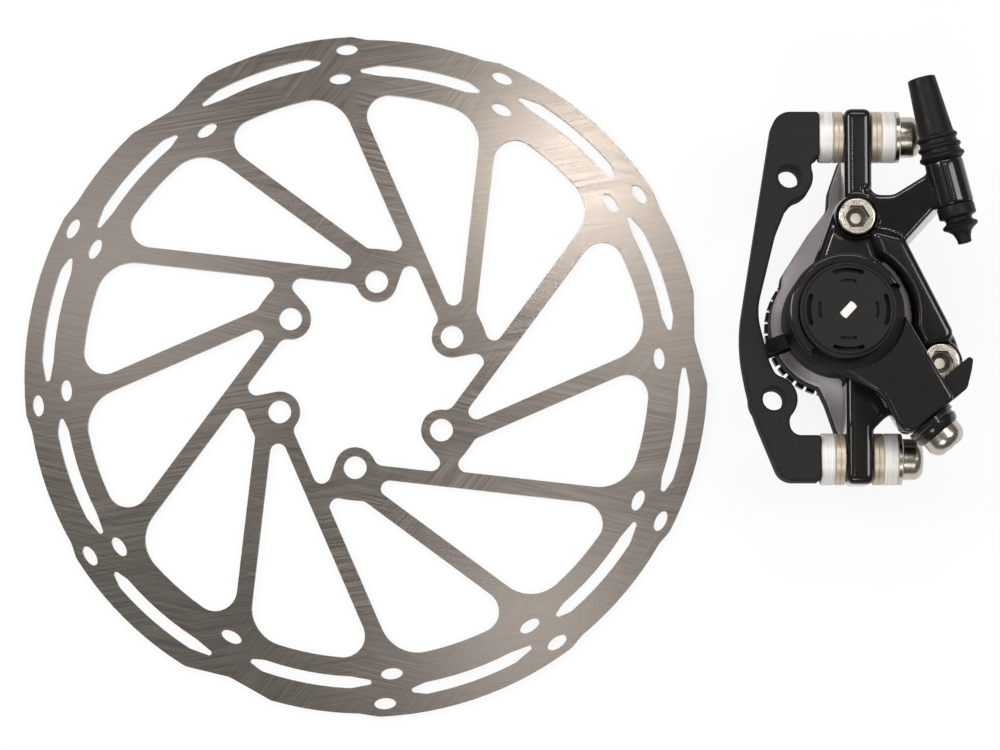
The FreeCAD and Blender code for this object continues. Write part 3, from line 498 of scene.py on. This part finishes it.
def bumped(material, factor, height, strength=1.0):
    """Raise the surface by a pattern, up to a height in metres."""
    bump = material.node_tree.nodes.new("ShaderNodeBump")
    bump.inputs["Distance"].default_value = height
    bump.inputs["Strength"].default_value = strength
    shader = material.node_tree.nodes["Principled BSDF"]
    material.node_tree.links.new(factor, bump.inputs["Height"])
    material.node_tree.links.new(bump.outputs["Normal"], shader.inputs["Normal"])


def scaled(base, share):
    """Colour made lighter or darker."""
    return tuple(min(1.0, value * share) for value in base)


def even(scale):
    """The same scale in all three directions."""
    return scale, scale, scale


def textured(name, base, scale, shades, rough, bump=None, detail=3, turn=0, contrast=True, metallic=0.0,
             specular=None, coat=None):
    """Finish whose shade, roughness and height follow one grain.

    The shades are shares of the base colour, rough is a range, and bump is a height and a strength.
    """
    material = finish(name, base, metallic, sum(rough) / 2, specular, coat)
    pattern = grain(material, scale, (0, 0, turn), detail)
    shade = ranged(material, pattern, 0.0, 1.0) if contrast else pattern
    dark, light = shades
    tinted(material, shade, scaled(base, dark), scaled(base, light))
    roughened(material, pattern, *rough)
    if bump:
        bumped(material, pattern, *bump)
    return material


def ground_steel(colours):
    """Stainless steel with fine grinding marks in crossing directions."""
    material = finish("ground_steel", colours.steel_light, metallic=0.7, roughness=0.17)
    first, second, third = [grain(material, stretch, (0, 0, turn), 3) for stretch, turn in GRINDING]
    patches = ranged(material, grain(material, even(28), detail=1), 0.0, 1.0, 0.4, 0.6)
    others = ranged(material, grain(material, (45, 38, 45), (0, 0, 40), 1), 0.0, 1.0, 0.52, 0.72)
    marks = blended(material, others, blended(material, patches, first, second), third)
    tinted(material, ranged(material, marks, 0.0, 1.0), colours.steel_dark, colours.steel_light)
    roughened(material, marks, 0.13, 0.21)
    bumped(material, marks, 1e-6, 0.4)


def soft_rubber(colours):
    """Black rubber with a faint bloom over a finer grain."""
    material = textured("soft_rubber", colours.rubber, even(420), shades=(0.75, 1.6), rough=(0.38, 0.58),
                        detail=4, specular=0.2)
    bumped(material, grain(material, even(4200), detail=2), 8e-6, 0.5)


def dark_finishes(colours):
    """Coatings, plastic and compound."""
    textured("matte_anodising", colours.anodised, even(5200), shades=(0.8, 1.4), rough=(0.54, 0.68),
             bump=(6e-6, 0.5), specular=0.015)
    textured("gloss_coat", colours.gloss_black, even(520), shades=(0.8, 1.3), rough=(0.24, 0.36),
             bump=(3e-6, 0.3), detail=2, contrast=False, specular=0.06, coat=0.09)
    textured("satin_coat", colours.arm_black, even(900), shades=(0.8, 1.3), rough=(0.26, 0.4),
             bump=(1e-6, 0.2), contrast=False, specular=0.1, coat=0.06)
    # Own dull black of the inboard half, also used as painted shade on the steep sides round the barrel and
    # the arm's pivot
    textured("dull_side_and_painted_shade", colours.side_black_and_painted_shade, even(900), shades=(0.7, 1.4), rough=(0.52, 0.68),
             contrast=False, specular=0.02)
    # Painted sheen: lighter grey for the floor right of the barrel, standing in for its reflection
    textured("painted_sheen_floor", colours.painted_sheen_floor, even(700), shades=(0.8, 1.2), rough=(0.34, 0.46),
             contrast=False)
    textured("moulded_plastic", colours.plastic, even(3800), shades=(0.75, 1.5), rough=(0.36, 0.54),
             bump=(1e-5, 0.6), specular=0.2)
    textured("friction_compound", colours.compound, even(2400), shades=(0.4, 2.4), rough=(0.5, 0.85),
             bump=(4e-5, 0.7), detail=4, metallic=0.3)


def metal_finishes(colours):
    """Machined face of the inboard half, washers, bolts, key sockets and inner parts."""
    textured("machined_grey", colours.machined_grey, (60, 3600, 60), shades=(0.94, 1.05), rough=(0.38, 0.52),
             bump=(6e-6, 0.4), turn=70, metallic=0.15)
    for name, base, metallic, rough, scale, height in (
            ("silver_satin", colours.silver, 0.2, (0.4, 0.55), (3200, 90, 90), TURNED),
            ("warm_nickel", colours.tan, 0.6, (0.34, 0.5), (3600, 60, 60), TURNED),
            ("polished_bolt", colours.bolt, 1.0, (0.2, 0.28), even(500), POLISHED),
            # The socket's walls and floor are darker bolt steel as painted shade, its drilled point lighter
            # as a painted highlight
            ("socket_wall_painted_shade", scaled(colours.bolt, 0.35), 1.0, (0.3, 0.45), even(900), TURNED),
            ("socket_floor_painted_shade", scaled(colours.bolt, 0.75), 1.0, (0.3, 0.45), even(900), TURNED),
            ("socket_point_painted_highlight", scaled(colours.bolt, 1.2), 1.0, (0.3, 0.45), even(900), TURNED),
            ("cut_steel", colours.plain, 1.0, (0.28, 0.42), even(900), TURNED)):
        textured(name, base, scale, METAL_SHADES, rough, bump=(height, METAL_STRENGTH), metallic=metallic)


def material_named(name):
    """Material that an earlier step has made."""
    return bpy.data.materials[name]


class BRAKE_OT_finishes(bpy.types.Operator):
    """Make the finishes that the pieces share"""
    bl_idname = "brake.finishes"
    bl_label = "Make finishes"

    def execute(self, context):
        for make in (ground_steel, dark_finishes, metal_finishes, soft_rubber):
            make(context.scene.brake_colours)
        return {"FINISHED"}


class BRAKE_OT_rotor(bpy.types.Operator):
    """Break the rotor's cut edges and give it its ground finish"""
    bl_idname = "brake.rotor"
    bl_label = "Dress rotor"

    def execute(self, context):
        piece = traced("rotor", "rotor_disc")
        bevelled(piece, context.scene.brake_sizes.rotor_edge)
        flat_faced(piece)
        hand_over(piece, "caliper", "rotor_steel", material_named("ground_steel"), "rotor")
        return {"FINISHED"}


class BRAKE_OT_bracket(bpy.types.Operator):
    """Soften the bracket's chamfers"""
    bl_idname = "brake.bracket"
    bl_label = "Dress bracket"

    def execute(self, context):
        piece = traced("mount_bracket", "bracket_bow")
        bevelled(piece, context.scene.brake_sizes.bracket_edge)
        flat_faced(piece)
        hand_over(piece, "caliper", "black_anodised", material_named("matte_anodising"), "mount_bracket")
        return {"FINISHED"}


class BRAKE_OT_housings(bpy.types.Operator):
    """Blend the cast outboard half and finish the inboard half's machined face"""
    bl_idname = "brake.housings"
    bl_label = "Dress housings"

    def execute(self, context):
        sizes = context.scene.brake_sizes
        self.outboard(sizes)
        self.inboard(sizes)
        return {"FINISHED"}

    @staticmethod
    def outboard(sizes):
        """Casting with soft blends, a painted sheen on the level floor right of the barrel, and dull sides as
        painted shade round it.
        """
        cast = traced("outboard_housing", "outboard_casting")
        modified(cast, "REMESH", mode="VOXEL", voxel_size=sizes.cast_grain, use_smooth_shade=True)
        modified(cast, "SMOOTH", factor=CAST_BLEND, iterations=sizes.cast_passes)
        modified(cast, "DECIMATE", ratio=sizes.cast_share)
        hand_over(cast, "caliper", "gloss_black", material_named("gloss_coat"), "outboard_housing")
        cast.data.materials.append(material_named("painted_sheen_floor"))
        cast.data.materials.append(material_named("dull_side_and_painted_shade"))
        painted_sheen_index, dull = 1, 2
        # Level faces right of the barrel get a lighter grey as painted sheen; steep faces round it get the
        # dull black as painted shade
        pivot = middle("outer_foot")
        for polygon in cast.data.polygons:
            offset = level_offset(polygon, pivot)
            near = offset.length < sizes.barrel_reach
            level = abs(polygon.center.z - sizes.painted_sheen_floor) < FLOOR_BAND and polygon.normal.z > UPWARD
            if level and near and offset.x > RIGHTWARD * offset.length:
                polygon.material_index = painted_sheen_index
            elif near and abs(polygon.normal.z) < CAST_STEEP:
                polygon.material_index = dull

    @staticmethod
    def inboard(sizes):
        """Half with dull sides and a machined grey face."""
        half = traced("inboard_housing", "inboard_half")
        bevelled(half, sizes.half_edge, segments=3)
        flat_faced(half)
        hand_over(half, "caliper", "grey_casting", material_named("dull_side_and_painted_shade"), "inboard_housing")
        half.data.materials.append(material_named("machined_grey"))
        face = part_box("inboard_housing")[1].z
        for polygon in half.data.polygons:
            if polygon.normal.z > FACE_UPWARD and polygon.center.z > face - sizes.half_edge:
                polygon.material_index = 1


def washer_profile(kind, radius, span, sizes):
    """Half outline of a domed or a dished washer along its axis."""
    bore, edge, groove = WASHER_BORE * radius, sizes.washer_edge, sizes.washer_groove
    if kind == "convex":
        rim = span - sizes.washer_dome
        return [(bore, 0), (radius - edge, 0), (radius, edge), (radius, rim - edge), (radius - edge, rim),
                (bore, span)]
    half = span / 2
    return [(bore, sizes.washer_dome), (radius - edge, 0), (radius, edge), (radius, half - groove),
            (radius - groove, half), (radius, half + groove), (radius, span - edge), (radius - edge, span),
            (bore, span)]


class BRAKE_OT_washers(bpy.types.Operator):
    """Turn the domed and dished washers"""
    bl_idname = "brake.washers"
    bl_label = "Turn washers"

    def execute(self, context):
        sizes = context.scene.brake_sizes
        looks = {"convex": ("silver_aluminium", "silver_satin"), "concave": ("tan_steel", "warm_nickel")}
        for number in range(1, 5):
            direction = ALONG_X if number % 2 else -ALONG_X
            for kind, (slot, look) in looks.items():
                node = "%s_washer_%d" % (kind, number)
                low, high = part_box(node)
                place = middle(node)
                place.x = low.x if number % 2 else high.x
                profile = washer_profile(kind, (high.y - low.y) / 2, high.x - low.x, sizes)
                piece = spun("washer_%s_%d" % (kind, number), profile, place, direction)
                smoothed(piece)
                hand_over(piece, "caliper", slot, material_named(look), node)
        return {"FINISHED"}


def head_profile(shank, tip, flange, flange_radius, radius, height, rounding, edge):
    """Half outline of a bolt along its axis, with zero at the seat under its head."""
    chamfer, root = 4 * edge, 2 * edge
    profile = [(0, tip), (shank - chamfer, tip), (shank, tip + chamfer), (shank, 0)]
    if flange:
        profile += [(flange_radius - edge, 0), (flange_radius, edge), (flange_radius, flange - edge),
                    (flange_radius - edge, flange), (radius - root, flange), (radius, flange + root)]
    else:
        profile += [(radius - edge, 0), (radius, edge)]
    top = flange + height
    profile += arc(radius - rounding, top - rounding, rounding, 0, 90, 10)
    profile.append((0, top))
    return profile


def fitted_bolt(name, body, node, profile, seat, end, direction, sizes):
    """Turn a bolt, cut its key socket and hand it over."""
    key = sizes.hex_key, sizes.hex_depth, end, direction
    piece = spun(name, profile, seat, direction)
    socketed(piece, *key)
    smoothed(piece)
    hand_over(piece, body, "bolt_steel", material_named("polished_bolt"), node)
    shade_socket(piece, *key)


class BRAKE_OT_bolts(bpy.types.Operator):
    """Turn the bolts and cut their key sockets"""
    bl_idname = "brake.bolts"
    bl_label = "Turn bolts"

    def execute(self, context):
        sizes, places = context.scene.brake_sizes, context.scene.brake_places
        edge = sizes.bolt_edge
        for side in ("upper", "lower"):
            node = "mount_bolt_" + side
            low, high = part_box(node)
            end = middle(node)
            end.x = high.x
            seat = end - ALONG_X * (sizes.flange + sizes.mount_head)
            profile = head_profile(sizes.shank, low.x - seat.x, sizes.flange, sizes.flange_radius,
                                   sizes.mount_head_radius, sizes.mount_head, sizes.mount_dome, edge)
            fitted_bolt("bolt_mount_" + side, "caliper", node, profile, seat, end, ALONG_X, sizes)
        for number in (1, 2):
            node = "body_bolt_%d" % number
            low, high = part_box(node)
            end = middle(node)
            end.z = high.z
            seat = end - UP * sizes.body_head
            profile = head_profile(sizes.shank, low.z - seat.z, 0.0, 0.0, (high.x - low.x) / 2,
                                   sizes.body_head, sizes.body_dome, edge)
            fitted_bolt("bolt_body_%d" % number, "caliper", node, profile, seat, end, UP, sizes)
        direction = flat_direction(places.arm_angle)
        seat = Vector(places.clamp) + direction * sizes.clamp_ring
        end = seat + direction * sizes.clamp_head
        profile = head_profile(sizes.clamp_shank, -sizes.clamp_tip, 0.0, 0.0, sizes.clamp_head_radius,
                               sizes.clamp_head, sizes.clamp_dome, edge)
        fitted_bolt("bolt_clamp", "arm", "clamp_bolt", profile, seat, end, direction, sizes)
        return {"FINISHED"}


class BRAKE_OT_arm(bpy.types.Operator):
    """Round the brake arm's edges and turn its cable clamp washer"""
    bl_idname = "brake.arm"
    bl_label = "Dress arm"

    def execute(self, context):
        sizes, places = context.scene.brake_sizes, context.scene.brake_places
        satin = material_named("satin_coat")
        piece = traced("brake_arm", "arm_lever")
        bevelled(piece, sizes.arm_edge, segments=4)
        flat_faced(piece)
        hand_over(piece, "arm", "arm_black", satin, "brake_arm")
        piece.data.materials.append(material_named("dull_side_and_painted_shade"))
        pivot = middle("outer_foot")
        # Steep faces round the pivot get the dull black as painted shade in place of the reflection they
        # would catch
        for polygon in piece.data.polygons:
            near = level_offset(polygon, pivot).length < sizes.barrel_reach
            if near and abs(polygon.normal.z) < ARM_STEEP:
                polygon.material_index = 1
        washer = spun("clamp_ring", self.ring_profile(sizes), Vector(places.clamp),
                      flat_direction(places.arm_angle))
        smoothed(washer)
        hand_over(washer, "arm", "arm_black", satin, "clamp_washer")
        return {"FINISHED"}

    @staticmethod
    def ring_profile(sizes):
        """Half outline of the cable clamp's ring: a flange, a groove and a tapered end, a third each."""
        bore = sizes.clamp_shank + CLAMP_PLAY
        radius, edge = sizes.clamp_radius, sizes.washer_edge
        third = sizes.clamp_ring / 3
        groove = radius - 2.4 * edge
        return [(bore, 0), (radius - edge, 0), (radius, edge), (radius, third - edge), (radius - edge, third),
                (groove, third), (groove, 1.5 * third), (radius - 1.6 * edge, 1.5 * third),
                (radius - edge, 1.5 * third + edge), (radius - 1.8 * edge, 2.4 * third),
                (radius - 3.6 * edge, 3 * third), (bore, 3 * third)]


class BRAKE_OT_knobs(bpy.types.Operator):
    """Round the knobs' moulded edges"""
    bl_idname = "brake.knobs"
    bl_label = "Dress knobs"

    def execute(self, context):
        sizes = context.scene.brake_sizes
        plastic = material_named("moulded_plastic")
        for node, name in (("outer_knob", "knob_outer"), ("inner_knob", "knob_inner")):
            piece = traced(node, name)
            bevelled(piece, sizes.knob_edge)
            flat_faced(piece)
            hand_over(piece, node, "black_plastic", plastic, node)
        return {"FINISHED"}


class BRAKE_OT_boots(bpy.types.Operator):
    """Mould the ribbed cable boot and the small flared boot"""
    bl_idname = "brake.boots"
    bl_label = "Mould boots"

    def execute(self, context):
        sizes, places = context.scene.brake_sizes, context.scene.brake_places
        direction = flat_direction(places.cable_angle)
        top = Vector(places.cable_top)
        bottom = top - direction * places.stop_length
        rubber = material_named("soft_rubber")
        for name, profile, place, angle, node in (
                ("boot_ribbed", self.ribbed(sizes), top, 40, "cable_boot"),
                ("boot_flared", self.flared(sizes), bottom, 50, "cable_nipple")):
            piece = spun(name, profile, place, direction)
            smoothed(piece, angle)
            hand_over(piece, "caliper", "black_rubber", rubber, node)
        return {"FINISHED"}

    @staticmethod
    def ribbed(sizes):
        """Half outline of the ribbed boot, from its wide end to its narrow end and back through its bore."""
        end, bead, lip = sizes.boot_length, sizes.boot_bead, sizes.boot_lip
        profile = [(sizes.boot_rib - BOOT_MOUTH, 0)]
        for i in range(BOOT_RIBS):
            rib = sizes.boot_rib - i * sizes.boot_taper
            along = sizes.boot_first + i * sizes.boot_pitch
            profile += arc(rib - bead, along, bead, -80, 80, 8)
            profile.append((rib - bead - BOOT_VALLEY, along + sizes.boot_pitch / 2))
        profile += arc(sizes.boot_tip - lip, end - lip, lip, 5, 90, 5)
        profile += [(sizes.cable_bore, end), (sizes.cable_bore, sizes.boot_socket_depth),
                    (sizes.boot_socket, sizes.boot_socket_depth), (sizes.boot_socket, 0)]
        return profile

    @staticmethod
    def flared(sizes):
        """Half outline of the flared boot, from its socket to its tip and back through its bore."""
        profile = [(radius * MM, along * MM) for radius, along in FLARED_OUTLINE]
        socket, tip = profile[0][0], profile[-1][1]
        profile += [(sizes.nipple_bore, tip), (sizes.nipple_bore, -sizes.nipple_socket_depth),
                    (socket, -sizes.nipple_socket_depth)]
        return profile


class BRAKE_OT_inner_parts(bpy.types.Operator):
    """Give the pads, cams, balls and screws their finishes"""
    bl_idname = "brake.inner_parts"
    bl_label = "Finish inner parts"

    def execute(self, context):
        looks = {"outer_pad_plate": "matte_anodising", "inner_pad_plate": "matte_anodising",
                 "outer_lining": "friction_compound", "inner_lining": "friction_compound",
                 "foot_screw": "silver_satin", "detent_ring": "moulded_plastic"}
        for name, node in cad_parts.items():
            if not node.hide_render:
                node.data.materials.clear()
                node.data.materials.append(material_named(looks.get(name, "cut_steel")))
        return {"FINISHED"}


def softbox(name, place, aim, width, height, power, tone):
    """Rectangular lamp that faces a point."""
    lamp = bpy.data.lights.new(name, "AREA")
    lamp.shape = "RECTANGLE"
    lamp.size, lamp.size_y = width, height
    lamp.energy = power
    lamp.color = tone
    holder = bpy.data.objects.new(name, lamp)
    bpy.context.scene.collection.objects.link(holder)
    holder.location = place
    holder.rotation_mode = "QUATERNION"
    holder.rotation_quaternion = (Vector(aim) - Vector(place)).to_track_quat("-Z", "Y")


class BRAKE_OT_stage(bpy.types.Operator):
    """Set the pale floor, the soft studio light and the camera"""
    bl_idname = "brake.stage"
    bl_label = "Set stage"

    def execute(self, context):
        scene = context.scene
        places, colours = scene.brake_places, scene.brake_colours
        scene.view_settings.view_transform = "Standard"
        deselect()
        bpy.ops.mesh.primitive_plane_add(size=FLOOR_SIZE, location=FLOOR_PLACE)
        floor = bpy.context.object
        floor.name = "studio_floor"
        floor.data.materials.append(self.floor_material(colours))
        self.world(scene)
        aim = Vector(places.aim)
        for name, place, width, height, power, tone in LAMPS:
            softbox(name, place, aim, width, height, power, tone)
        self.camera(scene, places, aim)
        return {"FINISHED"}

    @staticmethod
    def floor_material(colours):
        """Pale floor that shows near white to the camera and keeps a faint shadow."""
        material = finish("pale_floor", colours.floor, metallic=0.0, roughness=0.9)
        nodes, links = material.node_tree.nodes, material.node_tree.links
        path = nodes.new("ShaderNodeLightPath")
        either = nodes.new("ShaderNodeMath")
        either.operation = "MAXIMUM"
        seen = nodes.new("ShaderNodeMath")
        seen.operation = "MAXIMUM"
        share = nodes.new("ShaderNodeMath")
        share.operation = "MULTIPLY"
        share.inputs[1].default_value = FLOOR_GLOW
        glow = nodes.new("ShaderNodeEmission")
        mix = nodes.new("ShaderNodeMixShader")
        links.new(path.outputs["Is Camera Ray"], either.inputs[0])
        links.new(path.outputs["Is Glossy Ray"], either.inputs[1])
        links.new(either.outputs[0], seen.inputs[0])
        links.new(path.outputs["Is Transmission Ray"], seen.inputs[1])
        links.new(seen.outputs[0], share.inputs[0])
        links.new(share.outputs[0], mix.inputs[0])
        links.new(nodes["Principled BSDF"].outputs[0], mix.inputs[1])
        links.new(glow.outputs[0], mix.inputs[2])
        links.new(mix.outputs[0], nodes["Material Output"].inputs["Surface"])
        return material

    @staticmethod
    def world(scene):
        """Plain dim surroundings."""
        surroundings = bpy.data.worlds.new("studio")
        scene.world = surroundings
        surroundings.use_nodes = True
        background = surroundings.node_tree.nodes["Background"]
        background.inputs["Color"].default_value = (*WARM, 1.0)
        background.inputs["Strength"].default_value = WORLD_STRENGTH

    @staticmethod
    def camera(scene, places, aim):
        """Camera nearly straight over the set."""
        lens = bpy.data.cameras.new("studio_camera")
        lens.lens = places.lens
        lens.sensor_width = SENSOR_WIDTH
        lens.sensor_fit = "HORIZONTAL"
        lens.clip_start, lens.clip_end = CLIP
        camera = bpy.data.objects.new("studio_camera", lens)
        scene.collection.objects.link(camera)
        back = Vector((0.0, -math.cos(places.camera_height), math.sin(places.camera_height)))
        camera.location = aim + back * places.camera_distance
        camera.rotation_mode = "QUATERNION"
        camera.rotation_quaternion = (-back).to_track_quat("-Z", "Y")
        scene.camera = camera


STEPS = (BRAKE_OT_finishes, BRAKE_OT_rotor, BRAKE_OT_bracket, BRAKE_OT_housings, BRAKE_OT_washers,
         BRAKE_OT_bolts, BRAKE_OT_arm, BRAKE_OT_knobs, BRAKE_OT_boots, BRAKE_OT_inner_parts, BRAKE_OT_stage)


class BRAKE_PT_panel(bpy.types.Panel):
    """Steps that dress the brake"""
    bl_idname = "BRAKE_PT_panel"
    bl_label = "Disc brake"
    bl_space_type = "VIEW_3D"
    bl_region_type = "UI"
    bl_category = "Brake"

    def draw(self, context):
        for step in STEPS:
            self.layout.operator(step.bl_idname)


GROUPS = (BrakeSizes, BrakePlaces, BrakeColours)


def register():
    for cls in GROUPS + STEPS + (BRAKE_PT_panel,):
        bpy.utils.register_class(cls)
    bpy.types.Scene.brake_sizes = PointerProperty(type=BrakeSizes)
    bpy.types.Scene.brake_places = PointerProperty(type=BrakePlaces)
    bpy.types.Scene.brake_colours = PointerProperty(type=BrakeColours)


def unregister():
    del bpy.types.Scene.brake_colours
    del bpy.types.Scene.brake_places
    del bpy.types.Scene.brake_sizes
    for cls in reversed(GROUPS + STEPS + (BRAKE_PT_panel,)):
        bpy.utils.unregister_class(cls)


def main():
    register()
    bpy.ops.brake.finishes()
    bpy.ops.brake.rotor()
    bpy.ops.brake.bracket()
    bpy.ops.brake.housings()
    bpy.ops.brake.washers()
    bpy.ops.brake.bolts()
    bpy.ops.brake.arm()
    bpy.ops.brake.knobs()
    bpy.ops.brake.boots()
    bpy.ops.brake.inner_parts()
    bpy.ops.brake.stage()


if __name__ == "__main__":
    main()
